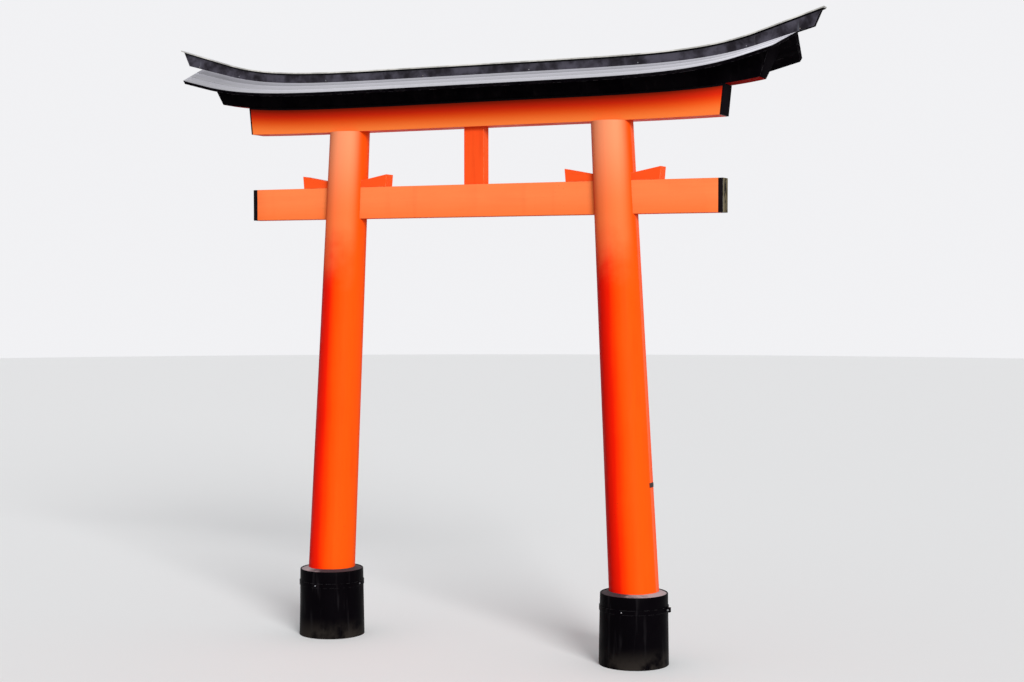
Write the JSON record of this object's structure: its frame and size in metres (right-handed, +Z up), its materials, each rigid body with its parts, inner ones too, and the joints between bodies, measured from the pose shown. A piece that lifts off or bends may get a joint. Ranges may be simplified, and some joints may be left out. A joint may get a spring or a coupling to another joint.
{
  "type": "torii gate",
  "caption": "Vermilion timber shrine gate with leaning round pillars, black base sleeves, a wedged tie beam and a curved double lintel under a small black roof.",
  "frame": {"origin": "on the ground, midway between the two pillars", "axes": "+X along the beams, +Y through the gate, +Z up"},
  "size_m": [4.0908, 0.574, 3.5791],
  "materials": {
    "pillar_vermilion": "satin oil paint over planed log, faded and stained",
    "beam_vermilion": "satin oil paint over planed timber, ends painted black",
    "roof_black": "glossy black paint, dusty on the upper faces",
    "sleeve_black": "semi-gloss black paint with scuffs and dust",
    "mortar": "rough mortar with worn black paint",
    "iron": "dark iron with light rust"
  },
  "bodies": {
    "root": {"left_pillar": "pillar_vermilion", "right_pillar": "pillar_vermilion", "left_kerf_strip": "pillar_vermilion", "right_kerf_strip": "pillar_vermilion", "left_kerf_key": "iron", "right_kerf_key": "iron", "left_base_sleeve": "sleeve_black", "right_base_sleeve": "sleeve_black", "left_base_fill": "mortar", "right_base_fill": "mortar", "left_base_hoop": "sleeve_black", "right_base_hoop": "sleeve_black", "left_hoop_bolt": "iron", "right_hoop_bolt": "iron", "left_outer_wedge": "beam_vermilion", "right_outer_wedge": "beam_vermilion", "left_inner_wedge": "beam_vermilion", "right_inner_wedge": "beam_vermilion", "tie_beam": "beam_vermilion", "centre_strut": "beam_vermilion", "lower_lintel": "beam_vermilion", "upper_lintel": "roof_black", "front_roof_board": "roof_black", "back_roof_board": "roof_black", "ridge_board": "roof_black", "left_ridge_end": "roof_black", "right_ridge_end": "roof_black", "ridge_cap": "roof_black", "left_cap_end": "roof_black", "right_cap_end": "roof_black"}
  },
  "joints": []
}
